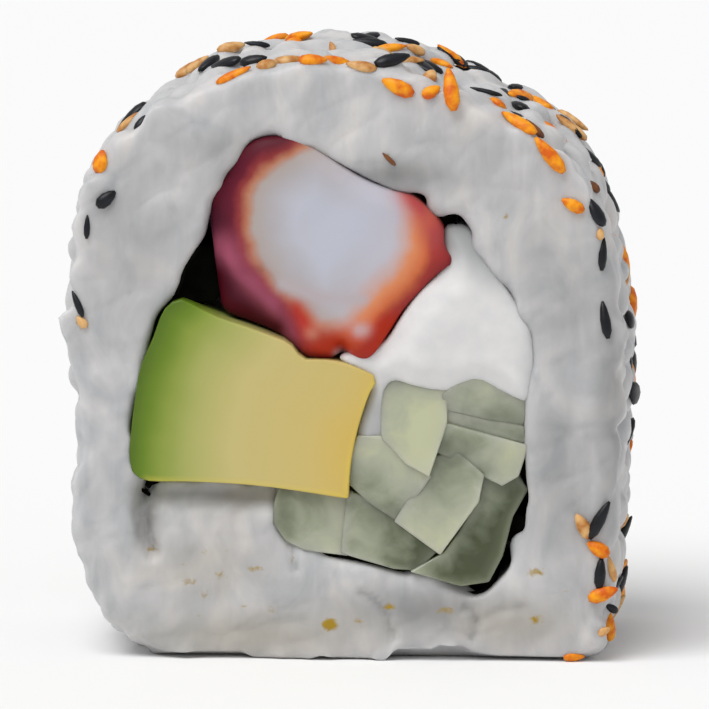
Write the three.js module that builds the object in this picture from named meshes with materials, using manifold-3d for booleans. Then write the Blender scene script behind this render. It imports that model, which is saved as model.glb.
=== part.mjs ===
// A cut piece of uramaki, an inside-out sushi roll. It stands on its pressed side with a cut face to the front.
// A wall of sticky rice, rolled in black and orange sesame, wraps a sheet of nori round the filling: a prawn,
// a wedge of avocado, cream cheese and cucumber batons. Everything but the wrap's grains runs straight through.
// Millimetres: +X right, +Y from the front cut to the back cut, +Z up. The origin is the middle of the base.
import * as THREE from "three";
import { mergeVertices } from "three/addons/utils/BufferGeometryUtils.js";
import Module from "manifold-3d";

// Driving dimensions
const DEPTH = 24; // from cut to cut
const GAP = 0.3; // clearance that touching pieces keep
const NORI_THICK = 0.4; // a wet sheet
const NORI_SUNK = 0.3; // how far its edge lies in from the cut
const FOLD_SUNK = 1.2; // the same for its folds
const GRAIN = { length: 5.6, width: 2.9, thick: 2.4 }; // a cooked short grain
const SEED = { length: 3.2, width: 1.9, thick: 1.0 }; // a sesame seed
const GRAIN_RELIEF = 0.9; // how far a grain stands out of the rice core
const CUT_RELIEF = 0.35; // the same on a knife-cut face
const WRAP_SPACING = 5.2; // from grain to grain on the wrap
const CUT_SPACING = 6; // the same on a cut face
const CUT_COLUMNS = 9; // grains across a cut face
const CUT_ROWS = 11; // grains up a cut face
const STRAY = 0.3; // how far a grain strays from its even place, as a share of the spacing
const SEED_COUNT = 56; // seeds scattered over the wrap, besides those at the front rim
const RIM_ROUND = { size: 1.1, along: 1.6, segments: 2 }; // how the wrap turns in towards each cut
const CORE_STEP = 3; // spacing of the points along the wrap's outline
const WALL_STEP = 1.6; // the same along the cavity and the fillings
const SOFT_STEP = 1; // the same along the cream cheese
const SKIN_RISE = 0.6; // how much further out the middle of the wrap is than its ends

// Outlines on the cut face, each a ring of [x, z] points that a smooth curve runs through
const WRAP_OUTLINE = [
  [-14.5, -0.9], [-19.6, 3.2], [-21.8, 10.5], [-21.4, 17], [-22.3, 25], [-21.9, 32.5], [-21.1, 37.8],
  [-18.9, 41.6], [-13, 46.2], [-4.5, 48.1], [4.5, 48], [12.3, 45.7], [18.2, 41.3], [21.2, 34], [22.1, 24],
  [21.7, 13], [21.9, 5.2], [20.2, -0.4], [12, -1.6], [0, -1.8], [-8, -1.6],
];
const CAVITY = [
  [-5.4, 42.1], [-7, 41.7], [-8.8, 39.7], [-10.6, 37.2], [-10.7, 34.8], [-11.4, 32.6], [-12.4, 31],
  [-12.8, 29.4], [-14.6, 27.8], [-15.5, 24.6], [-16.6, 20.2], [-16.9, 15.8], [-15.5, 13.2], [-13.6, 13.9],
  [-7.5, 13.8], [-5.3, 12.8], [-5, 9.9], [-2.9, 9.1], [1.4, 8.5], [5.8, 7.4], [8, 6.5], [10.6, 5.4],
  [11.8, 6.2], [13.3, 6.9], [13.3, 8.3], [14.4, 10.3], [15, 12.8], [14.7, 15.2], [14.6, 18], [14.9, 21.3],
  [15.3, 25.4], [14.3, 28.4], [11.8, 32], [10.2, 34.8], [7.4, 36.4], [5, 37.5], [2.5, 38.4], [-0.3, 39.9],
  [-1.9, 40.7], [-3.8, 41.8],
];
// Where the sheet starts and stops, as shares of the cavity's way round
const NORI_ENDS = { from: 0.385, to: 1.232 };
const PRAWN = [
  [-5.3, 41.8], [-1.8, 40.4], [1.8, 38.4], [5.5, 37.3], [8.2, 34.6], [8.7, 32], [6.8, 30.2], [4.1, 26.6],
  [2.5, 24.1], [0, 24.4], [-2.7, 24.2], [-4.6, 25.6], [-9.3, 27.5], [-10, 31.4], [-10.4, 36.2], [-8.5, 39.8],
];
const AVOCADO = [
  [-12.9, 28.9], [-13.9, 27.9], [-15.4, 24.4], [-16.5, 19], [-16.8, 15.6], [-15.7, 14.3], [-7.5, 14.2],
  [0.5, 13.1], [1, 16], [2.3, 21.4], [2.9, 22.6], [0.4, 24.1], [-2.6, 24.1], [-4.4, 25.7], [-8, 27],
  [-11, 28.3],
];
const CREAM = [
  [8.4, 34.4], [9.6, 34.9], [11, 33.6], [11.8, 31.8], [14.2, 28.3], [15.2, 24.5], [15, 21.4], [10.8, 23],
  [9, 21.4], [6, 22.1], [3.6, 22.3], [2.9, 19], [2, 17.5], [1.7, 18.4], [2.6, 21.4], [2.4, 23.1], [0.8, 24.1],
  [2.6, 24.1], [5.6, 28.7], [8.7, 31.9], [8.3, 33.2],
];
// Batons of cucumber: corners of the cut end, and how far each end stands in from the rice's cut
const BATONS = [
  { corners: [[3.3, 22.4], [8.3, 21.5], [8.3, 19], [6.9, 15.1], [5.2, 16.1], [3.5, 17.8]], sunk: 0.1 },
  {
    corners: [[9.9, 22.3], [10.7, 22.9], [14.8, 21.3], [14, 18.8], [11.5, 19.4], [8.5, 20.2], [8.5, 21.1]],
    sunk: 0.3,
  },
  { corners: [[8.5, 20], [11.5, 19.2], [14, 18.6], [14.7, 17.5], [11.3, 18.2], [8.5, 19]], sunk: 0.6 },
  {
    corners: [[8.5, 18.9], [11.3, 18], [14.6, 17.2], [13.8, 15], [13, 14.2], [9.4, 16.2], [7.8, 17.3]],
    sunk: 0.4,
  },
  {
    corners: [
      [13.8, 14.8], [14.9, 12.8], [13.4, 9], [12, 6.4], [9.7, 6.5], [6, 7.7], [8.1, 9], [10.9, 13.1],
      [12.5, 14],
    ],
    sunk: 0.7,
  },
  {
    corners: [[7.8, 15.6], [9.4, 16.1], [11, 14.6], [10.8, 13], [8.1, 9.1], [4.7, 11.4], [6.6, 14.6]],
    sunk: 0,
  },
  {
    corners: [
      [2, 17.3], [3.5, 17.6], [5.2, 16], [6.6, 14.9], [4.6, 11.4], [2.3, 12.9], [1, 14.4], [1.2, 16.4],
    ],
    sunk: 0.3,
  },
  {
    corners: [[0.9, 13], [2.3, 12.7], [4.6, 11.2], [7.7, 9.4], [5.9, 7.7], [4.2, 7.7], [0.5, 8.7]],
    sunk: 0.5,
  },
  {
    corners: [[-4.5, 13.6], [0.4, 13.1], [0.1, 8.8], [-2.9, 9.1], [-4.2, 9.8], [-5.1, 11], [-5, 12.4]],
    sunk: 0.6,
  },
];
// Folds of the nori that fill the pockets beside the filling, each by the middle and radius of its pocket
const NORI_FOLDS = [
  { x: -11.2, z: 30.6, radius: 2.4 },
  { x: -15, z: 14.4, radius: 1.2 },
  { x: 8.4, z: 35.8, radius: 1.2 },
  { x: 14.6, z: 15.4, radius: 1.1 },
  { x: 13.9, z: 10.2, radius: 1.3 },
  { x: 11.6, z: 6.4, radius: 1.3 },
];
// Seeds that the knife left along the front rim: x and z on the cut, and the tilt of each in degrees
const RIM_SEEDS = [
  [-20, 40.3, 60], [-15.9, 43, 60], [-18.7, 37.1, 45], [-20.2, 34.9, 90], [-21, 28.6, 80], [-20.6, 26.8, 135],
  [-11.4, 47.2, 30], [-8.7, 48, 20], [-6.4, 47.3, 15], [-9.3, 45.9, 27], [-3.3, 47.6, 5], [0.4, 48.3, 175],
  [3.1, 48.8, 0], [4.6, 47.5, 165], [4.6, 45.9, 150], [7.3, 47.3, 10], [7, 45.7, 110], [9.2, 44.6, 90],
  [12, 45.8, 170], [14.6, 44.2, 160], [14.2, 42.8, 135], [17, 40.4, 132], [18.6, 36.7, 150], [20.3, 36, 120],
  [20.8, 32.4, 105], [21.1, 27.4, 85], [20.4, 11.4, 70], [20.3, 9.2, 10], [21, 7.2, 90], [20.8, 4.9, 20],
  [21.1, 2.6, 75],
];

const HALF = DEPTH / 2;
const HALF_WIDTH = Math.max(...WRAP_OUTLINE.map(([x]) => x));
const LONG = DEPTH; // half the length of a cutter, well past both cuts
const TURN = Math.PI * 2;
const ROW_PITCH = Math.sqrt(0.75); // rows of a staggered pattern, as a share of its spacing
const PRESSED = -0.8; // where the wrap faces further down than this, it is pressed flat and bare
// Steps whose shares never fall in line, so that they spread seeds and turn grains evenly
const GOLDEN = 0.6180339887;
const PLASTIC = 0.7548776662;
const share = (i, step, offset = 0) => ((i + 1) * step + offset) % 1;

const wasm = await Module();
wasm.setup();

// A closed three.js geometry as a solid that can be joined and cut
function solidOf(geometry) {
  const bare = new THREE.BufferGeometry();
  const source = geometry.index ? geometry.toNonIndexed() : geometry;
  bare.setAttribute("position", source.getAttribute("position"));
  const merged = mergeVertices(bare, 1e-4);
  return new wasm.Manifold(
    new wasm.Mesh({
      numProp: 3,
      vertProperties: merged.attributes.position.array,
      triVerts: new Uint32Array(merged.index.array),
    }),
  );
}

// The largest body of a solid as a three.js geometry; scraps that a cut leaves loose are dropped
function geometryOf(solid) {
  const body = solid.decompose().sort((a, b) => b.volume() - a.volume())[0];
  const mesh = body.getMesh();
  const geometry = new THREE.BufferGeometry();
  geometry.setAttribute("position", new THREE.BufferAttribute(mesh.vertProperties, 3));
  geometry.setIndex(new THREE.BufferAttribute(mesh.triVerts, 1));
  geometry.computeVertexNormals();
  return geometry;
}

// A smooth closed curve through a ring of [x, z] points: evenly spaced Vector2, anticlockwise from the front
function smoothRing(points, step) {
  const places = points.map(([x, z]) => new THREE.Vector3(x, z, 0));
  const curve = new THREE.CatmullRomCurve3(places, true, "centripetal");
  const count = Math.round(curve.getLength() / step);
  const ring = curve.getSpacedPoints(count).slice(0, count).map((p) => new THREE.Vector2(p.x, p.y));
  return THREE.ShapeUtils.isClockWise(ring) ? ring.reverse() : ring;
}

// A ring of corners as Vector2, each corner eased by a short arc
function easedRing(corners, ease = 0.25) {
  const ring = [];
  corners.forEach(([x, z], i) => {
    const here = new THREE.Vector2(x, z);
    const before = new THREE.Vector2(...corners.at(i - 1));
    const after = new THREE.Vector2(...corners[(i + 1) % corners.length]);
    const near = (other) => here.clone().lerp(other, Math.min(ease / here.distanceTo(other), 0.4));
    ring.push(near(before), near(after));
  });
  return THREE.ShapeUtils.isClockWise(ring) ? ring.reverse() : ring;
}

// The outward direction at a point of an anticlockwise ring
function outwardAt(ring, i) {
  const before = ring.at(i - 1);
  const after = ring[(i + 1) % ring.length];
  return new THREE.Vector2(after.y - before.y, before.x - after.x).normalize();
}

// A ring moved outwards by a distance, or inwards if that is negative
const offsetRing = (ring, distance) =>
  ring.map((p, i) => p.clone().addScaledVector(outwardAt(ring, i), distance));

// A ring extruded along Y between two depths, its ends eased by a bevel if one is given
function prismGeometry(ring, front, back, bevel = null, steps = 1) {
  const along = bevel ? bevel.along : 0;
  const geometry = new THREE.ExtrudeGeometry(new THREE.Shape(ring), {
    depth: back - front - 2 * along,
    bevelEnabled: Boolean(bevel),
    bevelThickness: along,
    bevelSize: bevel?.size,
    bevelOffset: bevel ? -bevel.size : 0,
    bevelSegments: bevel?.segments ?? 1,
    steps,
  });
  return geometry.rotateX(Math.PI / 2).translate(0, back - along, 0);
}

const prism = (...shape) => solidOf(prismGeometry(...shape));

// A small plump body with its length along x, drawn in towards its +x end by a taper
function ovoid(size, rounds, taper = 0) {
  const geometry = new THREE.SphereGeometry(0.5, 6, rounds).rotateZ(Math.PI / 2);
  const position = geometry.getAttribute("position");
  for (let i = 0; i < position.count; i++) {
    const slim = 1 - taper * (position.getX(i) + 0.5);
    position.setXYZ(i, position.getX(i), position.getY(i) * slim, position.getZ(i) * slim);
  }
  return geometry.scale(size.length, size.width, size.thick);
}

const grainForm = ovoid(GRAIN, 3);
const seedForm = ovoid(SEED, 3, 0.3);

// A grain or a seed laid on a surface: its length along it, its thickness out of it
function laid(form, place, outward, along) {
  const geometry = form.clone();
  const z = outward.clone().normalize();
  const x = along.clone().addScaledVector(z, -along.dot(z)).normalize();
  const y = z.clone().cross(x);
  return geometry.applyMatrix4(new THREE.Matrix4().makeBasis(x, y, z).setPosition(place));
}

const cavityRing = smoothRing(CAVITY, WALL_STEP);
const wrapRing = smoothRing(WRAP_OUTLINE, CORE_STEP);
const coreRing = offsetRing(wrapRing, -GRAIN_RELIEF);

// The point at a share of the way round the wrap's outline, clockwise from the base, and the way out there
function onWrap(at) {
  const place = (1 - at) * wrapRing.length;
  const i = Math.floor(place) % wrapRing.length;
  const j = (i + 1) % wrapRing.length;
  const part = place % 1;
  return {
    point: wrapRing[i].clone().lerp(wrapRing[j], part),
    outward: outwardAt(wrapRing, i).lerp(outwardAt(wrapRing, j), part).normalize(),
  };
}

// How far the wrap stands beyond its outline at a depth: most in the middle, least at the cuts
const bulge = (y) => SKIN_RISE * (0.5 - (y / HALF) ** 2);

// A direction along the wrap's outside: round the roll at a turn of 0, from cut to cut at a quarter turn
function alongWrap(outward, turn) {
  return new THREE.Vector3(outward.y * Math.cos(turn), Math.sin(turn), -outward.x * Math.cos(turn));
}

// Grains over the outside of the wrap, in staggered rows, each turned by the golden share
function wrapGrains() {
  const grains = [];
  const rows = Math.round(DEPTH / (WRAP_SPACING * ROW_PITCH));
  const perRow = Math.round((wrapRing.length * CORE_STEP) / WRAP_SPACING);
  for (let index = 0; index < rows * perRow; index++) {
    const row = Math.floor(index / perRow);
    const jitter = share(index, PLASTIC) - 0.5;
    const { point, outward } = onWrap((((index % perRow) + (row % 2) / 2 + STRAY * jitter) / perRow) % 1);
    if (outward.y < PRESSED) continue;
    const y = -HALF + ((row + 0.5) / rows) * DEPTH + jitter;
    const sink = GRAIN.thick / 2 - bulge(y) + STRAY * (share(index, GOLDEN, 0.3) - 0.5);
    const place = new THREE.Vector3(point.x - outward.x * sink, y, point.y - outward.y * sink);
    const facing = new THREE.Vector3(outward.x, 0, outward.y);
    grains.push(laid(grainForm, place, facing, alongWrap(outward, TURN * share(index, GOLDEN))));
  }
  return grains;
}

// Whether a point lies within a ring
function within(ring, p) {
  let odd = false;
  ring.forEach((a, i) => {
    const b = ring[(i + 1) % ring.length];
    if (a.y > p.y !== b.y > p.y && p.x < ((b.x - a.x) * (p.y - a.y)) / (b.y - a.y) + a.x) odd = !odd;
  });
  return odd;
}

// Grains that the knife cut flat on both cut faces, wherever the rice wall is wide enough to hold one
function cutGrains() {
  const grains = [];
  const rim = offsetRing(coreRing, -1);
  const hole = offsetRing(cavityRing, 1.2);
  for (let index = 0; index < CUT_COLUMNS * CUT_ROWS; index++) {
    const row = Math.floor(index / CUT_COLUMNS);
    const column = (index % CUT_COLUMNS) - Math.floor(CUT_COLUMNS / 2);
    const at = new THREE.Vector2(
      (column + (row % 2) / 2 + STRAY * (share(index, PLASTIC) - 0.5)) * CUT_SPACING,
      (row + STRAY * share(index, GOLDEN)) * CUT_SPACING * ROW_PITCH,
    );
    if (!within(rim, at) || within(hole, at)) continue;
    const turn = TURN * share(index, GOLDEN);
    for (const side of [-1, 1]) {
      const place = new THREE.Vector3(at.x, side * (HALF - GRAIN.thick / 4), at.y);
      const along = new THREE.Vector3(Math.cos(turn), 0, side * Math.sin(turn));
      grains.push(laid(grainForm, place, new THREE.Vector3(0, side, 0), along));
    }
  }
  return grains;
}

// Sesame over the wrap, spread by two shares that never fall in line
function wrapSeeds() {
  const seeds = [];
  for (let i = 0; i < SEED_COUNT; i++) {
    const { point, outward } = onWrap(share(i, GOLDEN));
    if (outward.y < PRESSED) continue;
    const y = (share(i, PLASTIC) - 0.5) * (DEPTH - SEED.length);
    const rise = bulge(y);
    const place = new THREE.Vector3(point.x + outward.x * rise, y, point.y + outward.y * rise);
    const facing = new THREE.Vector3(outward.x, 0, outward.y);
    seeds.push(laid(seedForm, place, facing, alongWrap(outward, TURN * share(i, GOLDEN, 0.4))));
  }
  return seeds;
}

// The seeds along the front rim, each on the cut, on the round of the rim or just behind it
function rimSeeds() {
  return RIM_SEEDS.map(([x, z, tilt]) => {
    const at = new THREE.Vector2(x, z);
    let nearest = 0;
    wrapRing.forEach((p, i) => {
      if (p.distanceTo(at) < wrapRing[nearest].distanceTo(at)) nearest = i;
    });
    const outward = outwardAt(wrapRing, nearest);
    const out = at.sub(wrapRing[nearest]).dot(outward);
    const round = THREE.MathUtils.clamp(1 + out / RIM_ROUND.size, 0, 1);
    const behind = RIM_ROUND.along * (1 - Math.sqrt(1 - round ** 2)) + Math.max(out, 0) * 2;
    const place = new THREE.Vector3(x, -HALF + behind, z);
    const facing = new THREE.Vector3(outward.x * round, round - 1.1, outward.y * round);
    const turn = THREE.MathUtils.degToRad(tilt);
    return laid(seedForm, place, facing, new THREE.Vector3(Math.cos(turn), 0, Math.sin(turn)));
  });
}

// The rice wall: a core with grains and sesame fused on, cut flat at the base and open along the cavity
function riceSolid() {
  const core = prismGeometry(coreRing, -HALF + CUT_RELIEF, HALF - CUT_RELIEF, RIM_ROUND, 3);
  const position = core.getAttribute("position");
  for (let i = 0; i < position.count; i++) {
    const y = position.getY(i);
    const swell = bulge(y) / HALF_WIDTH;
    position.setXYZ(i, position.getX(i) * (1 + swell), y, position.getZ(i) * (1 + swell / 2));
  }
  const rice = wasm.Manifold.union([core, ...wrapGrains(), ...cutGrains()].map(solidOf));
  const cut = rice.trimByPlane([0, 1, 0], -HALF).trimByPlane([0, -1, 0], -HALF);
  const joined = wasm.Manifold.union([cut, ...[...wrapSeeds(), ...rimSeeds()].map(solidOf)]);
  return joined.subtract(prism(cavityRing, -LONG, LONG)).trimByPlane([0, 0, 1], 0);
}

// The nori's section between two distances in from the cavity wall, as an open strip that follows the wall
function noriRing(outer, inner) {
  const count = cavityRing.length;
  const outside = offsetRing(cavityRing, -outer);
  const inside = offsetRing(cavityRing, -inner);
  const first = Math.round(NORI_ENDS.from * count);
  const last = Math.round(NORI_ENDS.to * count);
  const picked = [];
  for (let i = first; i <= last; i++) picked.push(i % count);
  return [...picked.map((i) => outside[i]), ...picked.reverse().map((i) => inside[i])];
}

const food = new THREE.Group();

function serve(name, solid, colour, roughness) {
  const material = new THREE.MeshStandardMaterial({ color: colour, roughness, metalness: 0 });
  const mesh = new THREE.Mesh(geometryOf(solid), material);
  mesh.name = name;
  food.add(mesh);
}

const sheet = prism(noriRing(GAP, GAP + NORI_THICK), -HALF + NORI_SUNK, HALF - NORI_SUNK);
const sheetRoom = prism(noriRing(-GAP, 2 * GAP + NORI_THICK), -LONG, LONG);
const room = prism(offsetRing(cavityRing, -GAP), -LONG, LONG).subtract(sheetRoom);
const placed = []; // rings of the fillings made so far, grown by the gap

// A filling that runs from cut to cut, kept clear of the nori, the rice and the fillings made before it
function filling(name, ring, sunk, colour, roughness, bevel) {
  let solid = prism(ring, -HALF + sunk, HALF - sunk, bevel).intersect(room);
  for (const other of placed) solid = solid.subtract(other);
  placed.push(prism(offsetRing(ring, GAP), -LONG, LONG));
  serve(name, solid, colour, roughness);
}

serve("rice", riceSolid(), 0xe4e2de, 0.55);
filling("prawn", smoothRing(PRAWN, WALL_STEP), -0.3, 0xc0604a, 0.35, { size: 0.8, along: 0.8, segments: 2 });
filling("avocado", smoothRing(AVOCADO, WALL_STEP), -0.1, 0xc6b67e, 0.4, { size: 0.3, along: 0.3 });
filling("cream_cheese", smoothRing(CREAM, SOFT_STEP), -0.2, 0xf0eee9, 0.5, null);
BATONS.forEach(({ corners, sunk }, i) => {
  filling(`cucumber_${i + 1}`, easedRing(corners), sunk, 0xb4bb98, 0.25, null);
});

// The nori: the sheet that lines the rice, with the folds that fill the pockets beside the filling
let nori = sheet;
for (const { x, z, radius } of NORI_FOLDS) {
  const circle = new THREE.Path().absarc(x, z, radius, 0, TURN).getPoints(5).slice(0, -1);
  let fold = prism(circle, -HALF + FOLD_SUNK, HALF - FOLD_SUNK);
  for (const other of placed) fold = fold.subtract(other);
  nori = nori.add(fold.intersect(prism(offsetRing(cavityRing, -GAP), -LONG, LONG)));
}
serve("nori", nori, 0x14180f, 0.6);

// Grains and seeds stand out unevenly, so the whole is moved until its box is centred on the origin
const box = new THREE.Box3().setFromObject(food);
food.position.set(-(box.min.x + box.max.x) / 2, -(box.min.y + box.max.y) / 2, -box.min.z);

export default food;
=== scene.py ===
# %% [markdown]
# # A cut piece of uramaki
# Uramaki is a sushi roll turned inside out: the rice is on the outside, rolled in sesame, and a sheet of
# nori lines it round the filling. This piece stands on its pressed side and shows its knife-cut face. The
# lesson loads the piece's plain solids as a frame, and then models each food over its own solid.

# %% Load the frame
import math
import random

import bmesh
import bpy
import numpy as np
from mathutils import Matrix, Vector, noise
from mathutils.bvhtree import BVHTree


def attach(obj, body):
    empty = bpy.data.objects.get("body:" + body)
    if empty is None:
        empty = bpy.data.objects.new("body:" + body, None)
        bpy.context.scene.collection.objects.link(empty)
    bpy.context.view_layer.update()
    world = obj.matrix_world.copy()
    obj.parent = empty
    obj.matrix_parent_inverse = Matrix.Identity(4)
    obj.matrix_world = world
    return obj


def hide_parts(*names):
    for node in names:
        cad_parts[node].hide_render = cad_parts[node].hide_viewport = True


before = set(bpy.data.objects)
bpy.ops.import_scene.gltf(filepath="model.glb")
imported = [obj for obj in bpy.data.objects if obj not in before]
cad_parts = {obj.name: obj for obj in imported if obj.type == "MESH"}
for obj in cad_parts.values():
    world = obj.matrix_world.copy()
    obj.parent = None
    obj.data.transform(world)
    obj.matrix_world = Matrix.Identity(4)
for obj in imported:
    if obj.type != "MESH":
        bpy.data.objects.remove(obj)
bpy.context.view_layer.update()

print("solids in the frame:", sorted(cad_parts))

# %% [markdown]
# ## Sizes and outlines
# Every food here is a section that runs through the piece, so each starts as an outline on the cut face.
# The outlines are short lists of x and z in millimetres, read off the cut, with a smooth curve drawn
# through them. The wrap and the fillings are modelled symmetrically about the middle of the piece, because
# both ends are cuts.

# %% Sizes
MM = 0.001
DEPTH = 24.0  # from cut to cut
HALF = DEPTH / 2
SKIN_RISE = 0.6  # how much further out the middle of the wrap is than its ends
GRAIN = (5.4, 2.9, 2.5)  # length, width and thickness of a cooked short grain
WRAP_STEP = 1.5  # from point to point of the smooth curve round the wrap
CAVITY_STEP = 1.0  # the same for the cavity
FILLING_STEP = 0.8  # the same for a filling
RICE_VOXEL = 0.37
SOFT_VOXEL = 0.3
print("the piece is", DEPTH, "mm from cut to cut")

# %% Outlines of the wrap, the cavity and the soft fillings
WRAP_OUTLINE = [
    (-14.5, -0.9), (-19.6, 3.2), (-21.8, 10.5), (-21.4, 17), (-22.3, 25), (-21.9, 32.5), (-21.1, 37.4),
    (-18.5, 41.5), (-12.6, 46), (-5.2, 48.2), (4.3, 47.9), (11.2, 45.1), (18, 41), (21.4, 34), (22.7, 24),
    (22.4, 14), (21.9, 5.2), (20.2, -0.4), (12, -1.6), (0, -1.8), (-8, -1.6),
]
CAVITY = [
    (-5.4, 42.1), (-7, 41.7), (-8.8, 39.7), (-10.6, 37.2), (-10.7, 34.8), (-11.4, 32.6), (-12.4, 31),
    (-12.8, 29.4), (-14.6, 27.8), (-15.5, 24.6), (-16.6, 20.2), (-16.9, 15.8), (-15.4, 12.9), (-13.7, 13.9),
    (-7.5, 13.8), (-5.3, 12.8), (-5, 9.9), (-3, 8.9), (1.4, 8.15), (5.8, 7.05), (8, 6.4), (10.6, 5.4),
    (11.8, 6), (13.2, 6.9), (14.1, 8.6), (14.8, 10.5), (15, 12.8), (14.7, 15.2), (14.6, 18), (14.9, 21.3),
    (15.3, 25.4), (14.3, 28.4), (11.8, 32), (10.2, 34.9), (7.6, 36.8), (5, 37.6), (2.5, 38.4), (-0.3, 39.9),
    (-1.9, 40.7), (-3.8, 41.8),
]
PRAWN = [
    (-6.7, 41.7), (-5.3, 42), (-3.4, 41.8), (-1.9, 40.9), (0, 39.75), (1.6, 38.75), (4.3, 37.7),
    (5.6, 37.4), (7, 36.2), (8.2, 34.7), (8.2, 33.5), (8.7, 32.5), (9.2, 32), (8.3, 31.4), (7.4, 30.7),
    (6.4, 29.6), (5.1, 28.2), (4, 26.5), (3.2, 25.3), (2.3, 24), (1.1, 24.1), (0.2, 24.7), (-1, 24),
    (-2.8, 24.2), (-4.1, 25.4), (-6, 26.4), (-7.8, 27.1), (-9.4, 27.8), (-9.8, 29.4), (-10, 31.4),
    (-10.3, 34), (-10.6, 36.9), (-10.3, 37.8), (-9, 39.2), (-8.3, 40.6),
]
FLESH = [
    (-3.8, 40.8), (-5.3, 40), (-6.6, 38.8), (-7.3, 37), (-7.5, 34.9), (-7.1, 32.7), (-6.2, 31.1),
    (-5, 29.6), (-3.4, 28.3), (-2.4, 27.2), (-0.8, 26.9), (0.6, 27.4), (1.6, 29), (2.9, 30.2), (4.2, 31.6),
    (5, 33.2), (5.4, 34.8), (5.5, 36.4), (5.2, 37.9), (4.3, 38.6), (1.8, 39.6), (0.2, 40.6), (-1.7, 41.6),
]
AVOCADO = [
    (0.65, 13.05), (0.7, 13.9), (0.85, 15.8), (1.4, 18.6), (2.3, 21.4), (2.9, 22.7), (1.7, 23.4), (0, 24),
    (-1.5, 24.2), (-2.9, 24.2), (-4, 25.4), (-5.4, 26), (-7.6, 26.8), (-9.7, 27.5), (-11.4, 28.3),
    (-12.7, 28.9), (-13.9, 28.2), (-14.9, 25.8), (-15.9, 23.4), (-16.3, 21.2), (-16.6, 18.9), (-16.8, 16.1),
    (-16.5, 14.9), (-15.7, 14.4), (-12, 14.3), (-7.5, 14.1), (-3.2, 13.6), (-0.2, 13.15),
]
CHEESE = [
    (8.4, 34.7), (9.5, 34.8), (10.2, 34.5), (11, 33.6), (11.5, 32.2), (12.2, 31.2), (13, 30), (13.9, 28.6),
    (14.9, 27), (15.3, 25.2), (15.4, 23), (15, 21), (13, 21.6), (10.8, 22.4), (9, 21.6), (6, 22.1),
    (4, 22.6), (3.4, 21.6), (3.3, 18), (2.6, 17), (1.4, 17.2), (1.4, 18.6), (1.9, 20.2), (2.4, 21.6),
    (2.3, 22.6), (0.5, 23.8), (-0.2, 24.35), (2.2, 24.8), (3.6, 25.6), (5.2, 28), (6.6, 29.8), (8, 31.2),
    (8.4, 32.4), (8.1, 33.6),
]
print("points of the prawn's outline:", len(PRAWN))

# %% Batons, and where the nori shows
# Cucumber batons: the corners of the cut end, how far it stands in from the cut, its lean in degrees to the
# right and upwards, and its shade from 0, pale, to 1, deep green
BATONS = [
    ([(3.2, 22.7), (8.3, 21.7), (8.3, 19), (7, 15.2), (5.3, 16.1), (3.5, 17.9)], 0.15, 4, -6, 0.0),
    ([(9.6, 22.4), (10.7, 23.1), (15, 21.4), (14.1, 18.9), (11.5, 19.5), (8.4, 20.3), (8.4, 21.4)],
     0.4, -4, 5, 0.4),
    ([(8.4, 20.2), (11.5, 19.4), (14.2, 18.9), (14.6, 17.6), (11.3, 18.2), (8.4, 19)], 0.6, 0, 6, 0.45),
    ([(8.4, 19), (11.3, 18.2), (14.6, 17.3), (13.9, 15), (12.7, 14.3), (9.4, 16), (7.6, 17)],
     0.4, -4, 4, 0.5),
    ([(13.7, 14.9), (14.6, 13.4), (13.5, 11.4), (12.8, 8.6), (11.8, 6.7), (9.7, 6.4), (6, 7.5), (8.5, 8.9),
      (9.5, 10.3), (11.1, 13), (11.4, 15.1)],
     0.7, -6, -7, 0.9),
    ([(7.3, 16.2), (9.3, 16.6), (11.2, 14.9), (10.8, 12.9), (8, 9), (4.6, 11.4), (6.6, 14.7)],
     0.2, 3, -3, 0.45),
    ([(1.5, 17.8), (3.4, 17.8), (5.2, 16.1), (6.9, 14.9), (4.6, 11.4), (2.3, 12.9), (0.7, 14.4), (1, 16.4)],
     0.35, 4, 2, 0.35),
    ([(0.7, 13.2), (2.3, 12.9), (4.7, 11.3), (7.8, 9.3), (6, 7.5), (4.2, 7.6), (0.3, 8.7)],
     0.5, 2, -6, 0.76),
    ([(-4.7, 13.9), (0.6, 13.3), (0.3, 8.6), (-2.9, 9), (-4.3, 9.7), (-5.2, 11), (-5.1, 12.5)],
     0.65, -3, -5, 0.55),
]
# Stretches of the cavity's wall that no grain hides, so that the edge of the nori shows, and how far the
# rice stands back from the filling there
NORI_SHOWS = [
    ([(-3.8, 41.7), (-1.9, 40.6), (2.5, 38.3), (5, 37.5)], 0.05), ([(6.2, 37.2), (8.9, 35.7)], 0.3),
    ([(-15.6, 13.6), (-15.2, 13.3), (-14.8, 13.5)], 0), ([(-2.8, 8.9), (1.4, 8.15), (5, 7.25)], 0.35),
    ([(8, 6.7), (10.6, 5.5), (11.5, 5.9)], 0.35), ([(14.4, 10.3), (15, 12.8)], 0.15),
    ([(14.7, 15.2), (14.6, 17)], 0.1), ([(-11.4, 32.6), (-12.4, 31), (-12.8, 29.4)], 0.3),
]


# %% Smooth curves
def anticlockwise(ring):
    """A ring's points, turned round if they run clockwise."""
    area = np.sum(ring[:, 0] * np.roll(ring[:, 1], -1) - ring[:, 1] * np.roll(ring[:, 0], -1))
    return ring if area > 0 else ring[::-1]


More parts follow.
